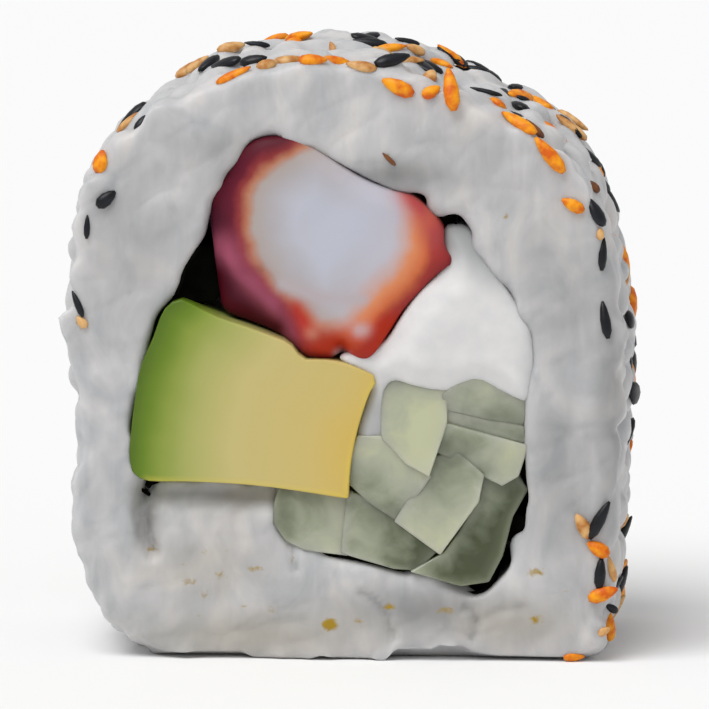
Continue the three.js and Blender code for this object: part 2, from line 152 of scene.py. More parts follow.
def smooth_ring(points, step, samples=12):
    """Evenly spaced points of a smooth closed curve through the given ones, as rows of x and z."""
    fine = []
    for i in range(len(points)):
        a, b, c, d = (Vector(points[(i + k) % len(points)]) for k in (-1, 0, 1, 2))
        t1 = (b - a).length ** 0.5
        t2 = t1 + (c - b).length ** 0.5
        t3 = t2 + (d - c).length ** 0.5
        for s in range(samples):
            t = t1 + (t2 - t1) * s / samples
            ab = a.lerp(b, t / t1)
            bc = b.lerp(c, (t - t1) / (t2 - t1))
            cd = c.lerp(d, (t - t2) / (t3 - t2))
            abc = ab.lerp(bc, t / t2)
            bcd = bc.lerp(cd, (t - t1) / (t3 - t1))
            fine.append(abc.lerp(bcd, (t - t1) / (t2 - t1)))
    fine = np.array(fine)
    closed = np.vstack([fine, fine[:1]])
    run = np.concatenate([[0], np.cumsum(np.linalg.norm(np.diff(closed, axis=0), axis=1))])
    at = np.linspace(0, run[-1], round(run[-1] / step), endpoint=False)
    ring = np.stack([np.interp(at, run, closed[:, k]) for k in (0, 1)], axis=1)
    return anticlockwise(ring)


def outward_of(ring):
    """The outward direction at each point of an anticlockwise ring."""
    along = np.roll(ring, -1, axis=0) - np.roll(ring, 1, axis=0)
    out = np.stack([along[:, 1], -along[:, 0]], axis=1)
    return out / np.linalg.norm(out, axis=1, keepdims=True)


wrap_ring = smooth_ring(WRAP_OUTLINE, WRAP_STEP)
cavity_ring = smooth_ring(CAVITY, CAVITY_STEP)
print("points round the wrap:", len(wrap_ring), "and round the cavity:", len(cavity_ring))

# %% [markdown]
# ## Helpers for soft food
# Soft food has no crisp edges, so its blocks are extruded from an outline, their rims are rounded by a
# bevel, and a voxel remesh turns them into an even skin that smoothing and small moves of its points can
# shape, as a sculptor would. A point's place is handled as x, out and z: out is how far it lies from the
# middle of the piece towards whichever cut is nearer, so one rule shapes both ends alike. Avocado and
# cucumber are firmer: they keep the crisp edges that the knife left, so theirs are only bevelled finely.

# %% Blocks
RING_WIDTHS = (0.1, 0.3)  # of the rings that frame a firm piece's ends
CRISP_ANGLE = math.radians(25)  # an edge that turns by more than this is bevelled on a firm piece
FLAT_END = 0.999  # how squarely a face of an end points along the piece


def pull_through(bm, faces, half):
    """Extrudes faces from the front cut to the back one, and returns the edges that lie in either end."""
    grown = bmesh.ops.extrude_face_region(bm, geom=faces)["geom"]
    moved = [v for v in grown if isinstance(v, bmesh.types.BMVert)]
    bmesh.ops.translate(bm, verts=moved, vec=(0, 2 * half * MM, 0))
    bmesh.ops.recalc_face_normals(bm, faces=bm.faces)
    return [e for e in bm.edges if abs(e.verts[0].co.y - e.verts[1].co.y) < MM * 1e-3]


def round_edges(bm, edges, radius, segments=3):
    """Bevels some edges, by a radius in millimetres."""
    bmesh.ops.bevel(bm, geom=edges, offset=radius * MM, offset_type="OFFSET", segments=segments, profile=0.5,
                    affect="EDGES", material=-1, clamp_overlap=True)


def block(ring, half, rim=0.0):
    """A bmesh block with the ring as its section, reaching half either way, its rims rounded by a bevel."""
    bm = bmesh.new()
    face = bm.faces.new([bm.verts.new((x * MM, -half * MM, z * MM)) for x, z in ring])
    rims = pull_through(bm, [face], half)
    if rim:
        round_edges(bm, rims, rim)
    return bm


def even_out(bm):
    """Turns a bmesh into triangles, and swaps the slivers on its flat ends for plumper ones."""
    bmesh.ops.triangulate(bm, faces=bm.faces[:])
    ends = {f for f in bm.faces if abs(f.normal.y) > FLAT_END}
    within = [e for e in bm.edges if all(f in ends for f in e.link_faces)]
    bmesh.ops.beautify_fill(bm, faces=list(ends), edges=within)


def divide(bm, longest):
    """Splits a bmesh's long edges in two until none is longer than the given millimetres."""
    halvings = math.ceil(math.log2(DEPTH / longest)) + 1
    for _ in range(halvings):
        even_out(bm)
        long_edges = [e for e in bm.edges if e.calc_length() > longest * MM]
        bmesh.ops.subdivide_edges(bm, edges=long_edges, cuts=1)
    even_out(bm)


# %% Pieces and their skin
def piece_of(bm, name):
    """A bmesh as an object of the scene."""
    mesh = bpy.data.meshes.new(name)
    bm.to_mesh(mesh)
    bm.free()
    piece = bpy.data.objects.new(name, mesh)
    bpy.context.scene.collection.objects.link(piece)
    return piece


def shade_smooth(piece):
    """Makes the light run smoothly over a piece's small faces."""
    piece.data.polygons.foreach_set("use_smooth", [True] * len(piece.data.polygons))


def settle(piece):
    """Applies a piece's modifiers, so that its points can be moved."""
    graph = bpy.context.evaluated_depsgraph_get()
    mesh = bpy.data.meshes.new_from_object(piece.evaluated_get(graph))
    piece.modifiers.clear()
    old = piece.data
    piece.data = mesh
    bpy.data.meshes.remove(old)
    mesh.name = piece.name


def firm_piece(bm, name, rim, longest=1.0):
    """A firm piece: its edges are bevelled finely, and narrow rings round its flat ends keep them crisp."""
    round_edges(bm, [e for e in bm.edges if e.calc_face_angle(0) > CRISP_ANGLE], rim, segments=2)
    ends = sorted(bm.faces, key=lambda f: f.calc_area() * abs(f.normal.y))[-2:]
    for width in RING_WIDTHS:
        bmesh.ops.inset_region(bm, faces=ends, thickness=width * MM)
    divide(bm, longest)
    piece = piece_of(bm, name)
    shade_smooth(piece)
    return piece


def soften(piece, voxel, rounds):
    """Gives a piece an even skin of small faces and rubs its edges smooth."""
    remesh = piece.modifiers.new("skin", "REMESH")
    remesh.mode = "VOXEL"
    remesh.voxel_size = voxel * MM
    rub = piece.modifiers.new("rub", "SMOOTH")
    rub.factor = 0.5
    rub.iterations = rounds
    settle(piece)
    shade_smooth(piece)


# %% Moving and marking points
def points_of(piece):
    """A piece's points in millimetres, one row of x, y and z each."""
    flat = np.empty(len(piece.data.vertices) * 3)
    piece.data.vertices.foreach_get("co", flat)
    return flat.reshape(-1, 3) / MM


def shape(piece, rule):
    """Moves a piece's points by a rule of x, out and z, the same at both cuts."""
    x, y, z = points_of(piece).T
    x, out, z = rule(x, np.abs(y), z)
    flat = np.stack([x, out * np.where(y < 0, -1, 1), z], axis=1) * MM
    piece.data.vertices.foreach_set("co", flat.ravel())
    piece.data.update()


def store(piece, name, values):
    """Keeps a number at each of a piece's points, for its material to read."""
    piece.data.attributes.new(name, "FLOAT", "POINT").data.foreach_set("value", values.astype(np.float32))


def rub_cuts(piece, rounds, reach):
    """Rubs a piece smooth near its cuts only, as a wet knife does."""
    _, y, _ = points_of(piece).T
    weights = fade(np.abs(y), HALF - reach, HALF - reach / 3)
    group = piece.vertex_groups.new(name="cut")
    for tenths in range(1, 11):
        chosen = np.nonzero(np.round(weights * 10) == tenths)[0]
        group.add(chosen.tolist(), tenths / 10, "REPLACE")
    rub = piece.modifiers.new("rub", "SMOOTH")
    rub.factor = 0.6
    rub.iterations = rounds
    rub.vertex_group = "cut"
    settle(piece)


# %% Distances and fades on the cut
def off_stretches(x, z, a, b):
    """How far points lie from the nearest of some straight stretches from a to b."""
    ab = b - a
    rel = np.stack([x, z], axis=1)[:, None, :] - a[None]
    t = np.clip((rel * ab).sum(axis=2) / (ab * ab).sum(axis=1), 0, 1)
    return np.sqrt(((rel - t[..., None] * ab) ** 2).sum(axis=2).min(axis=1))


def off_line(x, z, line):
    """How far points lie from an open line of x and z."""
    return off_stretches(x, z, np.array(line[:-1], float), np.array(line[1:], float))


def trace(x, z, line, width):
    """1 on a line, and fading away softly over a width to either side."""
    return np.exp(-(off_line(x, z, line) / width) ** 2)


def inside_by(x, z, ring):
    """How far points lie inside a ring, in millimetres; below nothing outside it."""
    a = ring
    b = np.roll(ring, -1, axis=0)
    near = off_stretches(x, z, a, b)
    straddles = (a[:, 1] > z[:, None]) != (b[:, 1] > z[:, None])
    rise = b[:, 1] - a[:, 1]
    rise = np.where(np.abs(rise) < 1e-9, 1e-9, rise)
    left = x[:, None] < (b[:, 0] - a[:, 0]) * (z[:, None] - a[:, 1]) / rise + a[:, 0]
    return np.where((straddles & left).sum(axis=1) % 2 == 1, near, -near)


def unevenness(x, y, z, size, seed):
    """Smooth noise from about -1 to 1 with lumps of a size in millimetres."""
    move = Vector((seed * 7.3, seed * 3.1, seed * 5.7))
    return np.array([noise.noise(Vector(p) / size + move) for p in zip(x, y, z)])


def fade(values, low, high):
    """Goes smoothly from 0 at low to 1 at high."""
    t = np.clip((values - low) / (high - low), 0, 1)
    return t * t * (3 - 2 * t)


def patches(x, z, listed):
    """The strongest of some soft patches on a cut, each x, z, reach across, reach up and strength."""
    return np.max([strength * np.exp(-((x - px) / across) ** 2 - ((z - pz) / up) ** 2)
                   for px, pz, across, up, strength in listed], axis=0)


# %% [markdown]
# ## Helpers for finishes
# Colours are read as the eye sees them, in sRGB, and the shader wants them linear, so one function turns a
# hex value over. Another adds any node: it takes the node's settings, and for each input a value or another
# node's output to wire to it. The rest do what several foods share: a tint where the points call for it, a
# value that wanders from place to place, and a cover of colour with fine relief. So a finish stays a few
# lines that say what it is.

# %% Colours and nodes
def linear(hex_colour, alpha=1.0):
    """An sRGB hex colour as linear red, green, blue and alpha."""
    parts = [int(hex_colour[i:i + 2], 16) / 255 for i in (0, 2, 4)]
    return tuple(p / 12.92 if p <= 0.04045 else ((p + 0.055) / 1.055) ** 2.4 for p in parts) + (alpha,)


def add(tree, kind, inputs=None, stops=None, **settings):
    """Adds a node with its settings, its colour stops if it has any, and its inputs set or wired."""
    made = tree.nodes.new(kind)
    for name, value in settings.items():
        setattr(made, name, value)
    for i, (place, colour) in enumerate(stops or []):
        stop = made.color_ramp.elements[i] if i < 2 else made.color_ramp.elements.new(place)
        stop.position = place
        stop.color = linear(colour)
    for name, value in (inputs or {}).items():
        if isinstance(value, bpy.types.NodeSocket):
            tree.links.new(value, made.inputs[name])
        else:
            made.inputs[name].default_value = value
    return made


def finish(name, surface):
    """A new material, with its node tree and the shader for the surface wired to its output."""
    material = bpy.data.materials.new(name)
    material.use_nodes = True
    tree = material.node_tree
    tree.nodes.clear()
    shader = add(tree, "ShaderNodeBsdfPrincipled", surface)
    add(tree, "ShaderNodeOutputMaterial", {"Surface": shader.outputs["BSDF"]})
    return material, tree, shader


def tinted(tree, colour, kept, tint):
    """Turns a colour towards a tint, by a number that is kept at the piece's points."""
    amount = add(tree, "ShaderNodeAttribute", attribute_name=kept).outputs["Fac"]
    return add(tree, "ShaderNodeMix", {0: amount, 6: colour, 7: linear(tint)}, data_type="RGBA").outputs[2]


def wandering(tree, spot, value, sway, pattern):
    """Makes a value stray from place to place, by a noise pattern that sways it."""
    noisy = add(tree, "ShaderNodeTexNoise", {"Vector": spot, **pattern})
    swing = add(tree, "ShaderNodeMath", {0: noisy.outputs["Fac"], 1: 0.5}, operation="SUBTRACT")
    return add(tree, "ShaderNodeMath", {0: swing.outputs[0], 1: sway, 2: value},
               operation="MULTIPLY_ADD").outputs[0]


def cover(tree, shader, colour, height, strength, depth):
    """Gives a shader its colour, and fine relief by a height, a strength and a depth in millimetres."""
    bump = add(tree, "ShaderNodeBump", {"Height": height, "Strength": strength, "Distance": depth * MM})
    tree.links.new(colour, shader.inputs["Base Color"])
    tree.links.new(bump.outputs["Normal"], shader.inputs["Normal"])


def serve(piece, material, slot, *nodes):
    """Gives a piece its material and its body, and hides the solids that it stands for. Its slot is not
    used.
    """
    piece.data.materials.clear()
    piece.data.materials.append(material)
    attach(piece, "root")
    if nodes:
        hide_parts(*nodes)
    triangles = sum(len(p.vertices) - 2 for p in piece.data.polygons)
    print(piece.name, "has", triangles, "triangles")


# %% [markdown]
# ## The rice wall
# Cooked sushi rice is a sticky mass: on the outside each grain still shows as a rounded lump, while the
# knife leaves the cut smooth, with the cut grains flat and only shallow seams between them. Scattered
# grains alone would look like loose rice. So grains are buried in a core, all are melted into one skin by
# the voxel remesh, and the points past the knife's plane are pushed back almost flat.

# %% Core of rice
CORE_SUNK = 0.95  # how far the core stays below the wrap's outline, to leave room for the grains
CORE_SHORT = 0.25  # how far it stays behind either cut
CORE_OVERLAP = 0.1  # how far it reaches past the cavity's wall where no nori shows
CORE_ROUND = 1.3  # of its outer rims
rice = bmesh.new()


def nori_gap(x, z):
    """How far the rice stands back from the filling: only where the edge of the nori shows."""
    return np.max([gap * (1 - fade(off_line(x, z, line), 0.4, 1.4)) for line, gap in NORI_SHOWS], axis=0)


def core_of_rice():
    """The wall of rice under its grains: the wrap's outline less the cavity, rounded at the rim."""
    outer = wrap_ring - outward_of(wrap_ring) * CORE_SUNK
    inner = cavity_ring + outward_of(cavity_ring) * (nori_gap(*cavity_ring.T) - CORE_OVERLAP)[:, None]
    half = HALF - CORE_SHORT
    edges = []
    for ring in (outer, inner):
        corners = [rice.verts.new((x * MM, -half * MM, z * MM)) for x, z in ring]
        edges += [rice.edges.new((corners[i - 1], corners[i])) for i in range(len(corners))]
    filled = bmesh.ops.triangle_fill(rice, use_beauty=True, edges=edges)["geom"]
    flat = pull_through(rice, [f for f in filled if isinstance(f, bmesh.types.BMFace)], half)
    outside = {tuple(round(c, 3) for c in p) for p in outer}
    rims = [e for e in flat if len(e.link_faces) == 2 and e.calc_face_angle(0) > 1
            and all((round(v.co.x / MM, 3), round(v.co.z / MM, 3)) in outside for v in e.verts)]
    round_edges(rice, rims, CORE_ROUND)
    print("core of rice:", len(rice.faces), "faces,", len(rims), "rim edges rounded")


core_of_rice()

# %% Grains
JITTER = 0.3  # how far a grain strays from its place in a row, in spaces
random.seed(11)


def add_grain(x, y, z, outward, turn, lean):
    """Buries a grain at x, y, z, by the way out of the rice, the grain's turn about that and its lean."""
    if z < 0:
        return
    size = [s * random.uniform(0.88, 1.12) for s in GRAIN]
    face = outward.to_track_quat("Z", "Y").to_matrix().to_4x4()
    swing = Matrix.Rotation(turn, 4, "Z") @ Matrix.Rotation(lean, 4, "Y")
    sized = Matrix.Diagonal([*(s * MM for s in size), 1])
    place = Matrix.Translation(Vector((x, y, z)) * MM) @ face @ swing @ sized
    bmesh.ops.create_icosphere(rice, subdivisions=2, radius=0.5, matrix=place)


def bulge(y):
    """How far the wrap stands beyond its outline: most in the middle, least at the cuts."""
    return SKIN_RISE * (0.5 - (y / HALF) ** 2)


def grains_on_wrap(spacing=3.5, row_gap=3.2):
    """Grains over the outside of the wrap in staggered, jittered rows."""
    out = outward_of(wrap_ring)
    rows = round(DEPTH / row_gap)
    per_row = round(len(wrap_ring) * WRAP_STEP / spacing)
    for row in range(rows):
        for n in range(per_row):
            share = (n + (row % 2) / 2 + random.uniform(-JITTER, JITTER)) / per_row
            i = int(share * len(wrap_ring)) % len(wrap_ring)
            y = -HALF + (row + 0.5 + random.uniform(-JITTER, JITTER)) * DEPTH / rows
            sink = GRAIN[2] / 2 - bulge(y) + random.uniform(-0.1, 0.35)
            x, z = wrap_ring[i] - out[i] * sink
            add_grain(x, y, z, Vector((out[i][0], 0, out[i][1])), random.uniform(0, math.tau),
                      random.uniform(-0.35, 0.35))


def grains_on_cuts(spacing=3.3, closer=0.87, across=46, up=52):
    """Grains that the knife goes through: a field of rows over both cuts, less those that miss the rice."""
    columns = int(across / spacing)
    for row in range(int(up / (spacing * closer))):
        for column in range(columns):
            for side in (-1, 1):
                x = (column - columns / 2 + (row % 2) / 2 + random.uniform(-JITTER, JITTER)) * spacing
                z = (row + random.uniform(-JITTER, JITTER)) * spacing * closer
                spot = np.array([x]), np.array([z])
                if inside_by(*spot, wrap_ring)[0] < 1.8 or inside_by(*spot, cavity_ring)[0] > -1.3:
                    continue
                y = side * (HALF - random.uniform(0.4, 1.3))
                add_grain(x, y, z, Vector((0, side, 0)), random.uniform(0, math.tau),
                          random.uniform(-0.5, 0.5))


def grains_at_lip(spacing=3.3):
    """Grains that hang into the cavity just inside each cut, and hide most of the nori."""
    out = outward_of(cavity_ring)
    for side in (-1, 1):
        for n in range(round(len(cavity_ring) / spacing)):
            i = int((n + random.uniform(-0.2, 0.2)) * spacing) % len(cavity_ring)
            x, z = cavity_ring[i] + out[i] * random.uniform(0.95, 1.3)
            spot = np.array([x]), np.array([z])
            if min(off_line(*spot, line)[0] for line, _ in NORI_SHOWS) < 1.4:
                continue
            along = math.atan2(-out[i][0], out[i][1])
            add_grain(x, side * (HALF - random.uniform(1.0, 1.7)), z, Vector((0, side, 0)),
                      side * along + random.uniform(-0.5, 0.5), random.uniform(-0.2, 0.2))


grains_on_wrap()
grains_on_cuts()
grains_at_lip()
for v in rice.verts:
    v.co.z = max(v.co.z, 0)
rice_wall = piece_of(rice, "rice_wall")
soften(rice_wall, RICE_VOXEL, 3)
print("rice skin:", len(rice_wall.data.vertices), "points")

# %% [markdown]
# The knife, the board and the fingers shape the rest. The knife's plane flattens the cut, the board the
# base, and a few seams and hollows are pressed in where layers of rice meet: each is a line on the cut with
# a width and a depth. Slow noise makes the face softly uneven, as it is where the knife dragged the starch
# along.

# %% Knife, board and seams
# Lines on the cut, in millimetres, with the width and depth of the furrow that follows each
SEAMS = [
    ([(-15.6, 13.6), (-16, 11.8), (-15.6, 9.8), (-15, 8.6)], 0.55, 1.5),
    ([(-15.2, 13.4), (-13, 13.3), (-5.2, 13.4)], 1.3, 1.2),
    ([(-4.2, 11.5), (-4, 9.2), (-3.6, 7.4)], 0.35, 0.4),
    ([(4.3, 1), (3.8, 3.6), (2.6, 5), (1.6, 5.5)], 0.35, 0.35),
    ([(10.5, 1.2), (10.9, 2.8), (10.6, 4), (9.9, 4.4)], 0.4, 0.35),
    ([(11, 3.2), (12.5, 4.1), (14.6, 4.4)], 0.5, 0.25),
    ([(17.5, 24), (18.5, 20.5), (17.5, 17), (17.8, 15)], 0.7, 0.2),
    ([(-8, 2), (-6, 3), (-3, 3.2)], 0.5, 0.2),
]
KNIFE_IN = 0.12  # how far behind the end of the piece the knife's plane lies
LEFT_STANDING = 0.15  # the share of a grain's height over that plane that the knife leaves
GRAIN_LIE = (0.8, 0.6)  # the way that the cut grains lie, across and up
# How far the lower edge of the cut stands off the board, by x
BASE_LIFT = [
    (-17, 0.3), (-11.5, 0.5), (-8, 0.55), (-7, 0), (-2.5, 0), (-1.5, 0.35), (-0.5, 0.1), (3.6, 0),
    (4.4, 0.9), (7.2, 0.9), (8, 1.3), (9.8, 1.1), (10.5, 0.7), (12.2, 0.4), (18, 0.3), (21, 0.6),
]


def grain_seams(x, y, z):
    """1 on the seams between cut grains, and 0 within a grain."""
    bend = unevenness(x, y, z, 9, 12)
    lie_x, lie_z = GRAIN_LIE
    along = (x * lie_x + z * lie_z) / GRAIN[0] + bend
    across = (z * lie_x - x * lie_z) / GRAIN[1] - bend
    nearest = [noise.voronoi(Vector(p))[0] for p in zip(along, y / GRAIN[1], across)]
    return 1 - fade(np.array([second - first for first, second, *_ in nearest]), 0, 0.25)


def press_rice(x, out, z):
    """Pushes what stands past the knife's plane back until only a little of it is left."""
    cut = HALF - KNIFE_IN
    over = np.maximum(out - cut, 0)
    return x, np.where(out > cut, cut + LEFT_STANDING * over, out), z


def carve_rice(x, out, z):
    """Makes the cut uneven, presses in its seams, and lifts the foot of the cut off the board."""
    face = fade(out, HALF - 3, HALF - 0.4)
    relief = 0.3 * unevenness(x, out, z, 7, 3) + 0.12 * unevenness(x, out, z, 2.4, 4)
    out = out + face * (relief - 0.08 * grain_seams(x, out, z))
    for line, width, depth in SEAMS:
        out = out - face * depth * trace(x, z, line, width)
    lifted = np.interp(x, [at for at, _ in BASE_LIFT], [rise for _, rise in BASE_LIFT])
    z = np.maximum(z, 0) + lifted * fade(out, HALF - 3, HALF - 0.5) * (1 - fade(z, 0.5, 4))
    return x, np.minimum(out, HALF + 0.15), z


shape(rice_wall, press_rice)
rub_cuts(rice_wall, 12, 1.8)
shape(rice_wall, carve_rice)

# %% Stains and patches
# Stains on the cut: x, z, reach across, reach up and strength
STAINS = [
    (-0.8, 2.9, 0.7, 0.5, 1.0), (1.4, 3.2, 0.6, 0.3, 0.5), (3.9, 4.4, 0.5, 0.25, 1.0),
    (8.4, 4.1, 1.3, 0.25, 0.6), (15.8, 7.2, 0.9, 0.35, 0.6), (15.6, 3.5, 0.7, 0.45, 0.7),
    (17.6, 5.6, 1.2, 0.2, 0.25), (3.8, 40.4, 0.2, 0.2, 0.9), (13.2, 35.6, 0.2, 0.15, 0.8),
    (-15, 8.7, 0.5, 0.3, 0.9), (-12.5, 7.6, 0.8, 0.3, 0.35), (-12.1, 6.2, 0.7, 0.4, 0.55),
    (-10.8, 5.3, 0.5, 0.5, 0.3), (-9.6, 6.8, 0.6, 0.5, 0.4), (-6.8, 7.3, 0.7, 0.3, 0.6),
    (-5.4, 4.1, 0.35, 0.25, 0.7), (-7.7, 4.3, 0.5, 0.25, 0.35), (-10.8, 8.7, 0.4, 0.3, 0.45),
    (-11.4, 3.5, 0.9, 0.4, 0.2), (-20.8, 27, 0.7, 0.9, 0.35), (-18.9, 25.7, 0.4, 0.4, 0.2),
    (-3.8, 8.2, 0.2, 0.9, 0.5), (-8.9, 8.7, 0.4, 0.3, 0.3),
]
CUT_SKIN = (HALF - 2.5, HALF - 0.8)  # the colours of the cut fade in between these, out from the middle
x, y, z = points_of(rice_wall).T
store(rice_wall, "stain", patches(x, z, STAINS) * fade(-y, *CUT_SKIN))

# Patches of the cut, listed in the same way. The clear ones are painted shade: darker under the avocado, in
# the recess at the left, beside the prawn, under the cucumber and down the sides, most on the right. The
# warm ones make the rice warmer and darker, most along the bottom, and the white ones are two small pale
# spots
PAINTED_SHADE = [
    (-9.5, 12.8, 4.8, 1.3, 0.75), (-15.3, 11.6, 0.9, 2.0, 1.0), (4.6, 39, 3.6, 1.3, 0.7),
    (6.4, 4, 8, 2.0, 0.6), (17.6, 14.5, 3, 7, 0.4), (18.4, 29, 3, 6, 0.3), (-16.8, 34, 3, 6, 0.25),
    (21.5, 20, 1.5, 12, 0.5), (16, 33, 2.5, 4, 0.25), (-10.5, 41, 3, 1.5, 0.3),
]
WARM = [(-7.2, 1.8, 9, 2.2, 0.6), (-11, 7.5, 5, 3, 0.35), (11.2, 40.5, 4.5, 3, 0.1), (14, 3, 5, 2, 0.5)]
WHITE = [(-6, 11.7, 0.9, 0.6, 0.5), (13.4, 7.6, 0.5, 1.0, 0.3)]
# The clear patches carry painted shade; the warm and white ones are plain tints
for kept, listed in (("clear", PAINTED_SHADE), ("warm", WARM), ("white", WHITE)):
    store(rice_wall, kept, patches(x, z, listed) * fade(np.abs(y), *CUT_SKIN))
    print("patches of rice that are", kept + ":", len(listed))

# %% Rice finish
# Cooked rice: a wet starch gel. Light sinks in and comes out softened, so the grains look milky and their
# shadows grey-blue. The thin starch film on top gives a low, broken shine.
rice_material, tree, shader = finish("cooked_rice", {
    "Roughness": 0.48, "IOR": 1.34, "Subsurface Weight": 0.6, "Subsurface Radius": (1.0, 0.95, 0.9),
    "Subsurface Scale": 0.002, "Coat Weight": 0.1, "Coat Roughness": 0.35,
})
spot = add(tree, "ShaderNodeTexCoord").outputs["Object"]
drawn = add(tree, "ShaderNodeMapping", {"Vector": spot, "Scale": (1.0, 1.0, 0.7)}).outputs["Vector"]
cloud = add(tree, "ShaderNodeTexNoise", {
    "Vector": drawn, "Scale": 1 / (3.5 * MM), "Detail": 5.0, "Distortion": 0.8})
cloudy = add(tree, "ShaderNodeValToRGB", {"Fac": cloud.outputs["Fac"]},
             stops=[(0.3, "adafb1"), (0.52, "bfbebf"), (0.72, "ccc9c6")])
veins = add(tree, "ShaderNodeTexVoronoi", {"Vector": drawn, "Scale": 1 / (4 * MM)},
            feature="DISTANCE_TO_EDGE")
thin = add(tree, "ShaderNodeValToRGB", {"Fac": veins.outputs["Distance"]},
           stops=[(0.0, "202020"), (0.1, "000000")])
pale = add(tree, "ShaderNodeMix", {0: 0.6, 6: cloudy.outputs["Color"], 7: thin.outputs["Color"]},
           data_type="RGBA", blend_type="ADD")
swept = add(tree, "ShaderNodeMapping", {"Vector": spot, "Rotation": (0, 0.6, 0), "Scale": (1, 1, 0.22)})
strand = add(tree, "ShaderNodeTexNoise", {
    "Vector": swept.outputs["Vector"], "Scale": 1 / (0.9 * MM), "Detail": 3.0, "Distortion": 0.6})
milky = add(tree, "ShaderNodeValToRGB", {"Fac": strand.outputs["Fac"]},
            stops=[(0.4, "000000"), (0.7, "3c3c3d")])
pale = add(tree, "ShaderNodeMix", {0: 0.6, 6: pale.outputs[2], 7: milky.outputs["Color"]},
           data_type="RGBA", blend_type="ADD")
colour = pale.outputs[2]
# The clear tint darkens the rice as painted shade
for kept, tint in (("clear", "72716f"), ("warm", "a49c8c"), ("white", "dededc")):
    colour = tinted(tree, colour, kept, tint)
stained = add(tree, "ShaderNodeAttribute", attribute_name="stain")
speck = add(tree, "ShaderNodeTexNoise", {
    "Vector": spot, "Scale": 1 / (0.6 * MM), "Detail": 3.0, "Distortion": 0.8})
blot = add(tree, "ShaderNodeMath", {0: stained.outputs["Fac"], 1: speck.outputs["Fac"]}, operation="ADD")
strength = add(tree, "ShaderNodeMapRange", {"Value": blot.outputs[0], "From Min": 0.75, "From Max": 1.15})
colour = add(tree, "ShaderNodeMix", {0: strength.outputs[0], 6: colour, 7: linear("a2841e")},
             data_type="RGBA")
film = add(tree, "ShaderNodeTexNoise", {"Vector": spot, "Scale": 1 / (0.9 * MM), "Detail": 4.0})
cover(tree, shader, colour.outputs[2], film.outputs["Fac"], 0.4, 0.08)
serve(rice_wall, rice_material, "rice", "rice")

# %% [markdown]
# ## Nori
# The sheet of dried seaweed has gone damp and nearly black. Only its edge shows, as a thin dark line
# between rice and filling, so it is a ribbon that follows the cavity's wall. A real sheet is a fifth of a
# millimetre thick; wet and wrinkled it fills more. Its folds fill the pockets that the filling leaves, and
# their near-black stands in there as painted shadow for the deep gaps.

# %% Nori sheet
NORI_THICK = 0.25
NORI_SUNK = 1.0  # how far its edge stands in from the cut
NORI_DEEP = 2.2  # the same where the rice has closed over it
NORI_SPANS = 8
FOLD_SUNK = 1.7  # how far the ends of its folds stand in from the cut
# Dark folds in the pockets, as painted shadow in the deep gaps: x, z and radius
SHADOW_FOLDS = [
    (-11.2, 30.6, 2.4), (-15, 13.8, 0.9), (8.2, 35.4, 1.1), (14.4, 15.6, 0.8), (13.9, 10.4, 1.2),
    (11.3, 6.8, 1.0),
]
nori = bmesh.new()
levels = [-HALF + NORI_SUNK + k * (DEPTH - 2 * NORI_SUNK) / NORI_SPANS for k in range(NORI_SPANS + 1)]
rows = []
for y in levels:
    corners = [nori.verts.new((x * MM, y * MM, z * MM)) for x, z in cavity_ring]
    rows.append([nori.edges.new((corners[i - 1], corners[i])) for i in range(len(corners))])
for near, far in zip(rows, rows[1:]):
    bmesh.ops.bridge_loops(nori, edges=near + far)
bmesh.ops.recalc_face_normals(nori, faces=nori.faces)
bmesh.ops.solidify(nori, geom=nori.faces[:], thickness=-NORI_THICK * MM)
for x, z, radius in SHADOW_FOLDS:
    place = Matrix.Translation(Vector((x, 0, z)) * MM) @ Matrix.Rotation(math.pi / 2, 4, "X")
    bmesh.ops.create_cone(nori, cap_ends=True, segments=24, radius1=radius * MM, radius2=radius * MM,
                          depth=(DEPTH - 2 * FOLD_SUNK) * MM, matrix=place)
bmesh.ops.recalc_face_normals(nori, faces=nori.faces)
nori_sheet = piece_of(nori, "nori_sheet")


def press_nori(x, out, z):
    """Draws the edge of the nori in where the rice has closed over it."""
    sunk = NORI_DEEP + (NORI_SUNK - NORI_DEEP) * fade(nori_gap(x, z), 0, 0.12)
    return x, out * (HALF - sunk) / (HALF - NORI_SUNK), z


shape(nori_sheet, press_nori)

# %% Nori finish
# Damp nori: a mat of pressed seaweed that swallows nearly all light, with no shine left on it.
nori_material, tree, shader = finish("damp_nori", {"Roughness": 0.9, "IOR": 1.2, "Specular IOR Level": 0.2})
spot = add(tree, "ShaderNodeTexCoord").outputs["Object"]
fibre = add(tree, "ShaderNodeTexNoise", {"Vector": spot, "Scale": 1 / (1.2 * MM), "Detail": 5.0})
green = add(tree, "ShaderNodeValToRGB", {"Fac": fibre.outputs["Fac"]},
            stops=[(0.3, "020302"), (0.8, "0e0e08")])
cover(tree, shader, green.outputs["Color"], fibre.outputs["Fac"], 0.6, 0.1)
serve(nori_sheet, nori_material, "nori", "nori")

# %% [markdown]
# ## Prawn
# The cooked prawn is sliced across: pearly flesh in the middle, and round it the skin side, which goes
# through orange to a dark wine red. On the left, which recedes, and in the sunk corner, the wine is deepened
# as painted shade. The finish needs to know how far a point is from the flesh, so that distance is stored
# on the points, and a colour ramp reads it.

# %% Prawn slice
prawn_ring = smooth_ring(PRAWN, FILLING_STEP)
flesh_ring = smooth_ring(FLESH, FILLING_STEP)
prawn_slice = piece_of(block(prawn_ring, HALF + 0.15, 0.7), "prawn_slice")
soften(prawn_slice, SOFT_VOXEL, 3)
print("prawn skin:", len(prawn_slice.data.vertices), "points")

# %% Prawn relief
# The lobes at its lower edge by x, z, radius and height, and lines that stand out or sink in
LOBES = [(-2.2, 25.8, 1.2, 0.5), (1.8, 25.9, 1.3, 0.6)]
CORNER = [(-9.8, 29.4), (-5.5, 26.6)]
NOTCH = [(0.4, 24.2), (0, 25.3)]
FOLD = [(-9.2, 32.4), (-7.6, 30.2), (-5.4, 28.2)]
CREASE = [(-6.2, 31.2), (-4.6, 29.2), (-3.4, 26.4)]


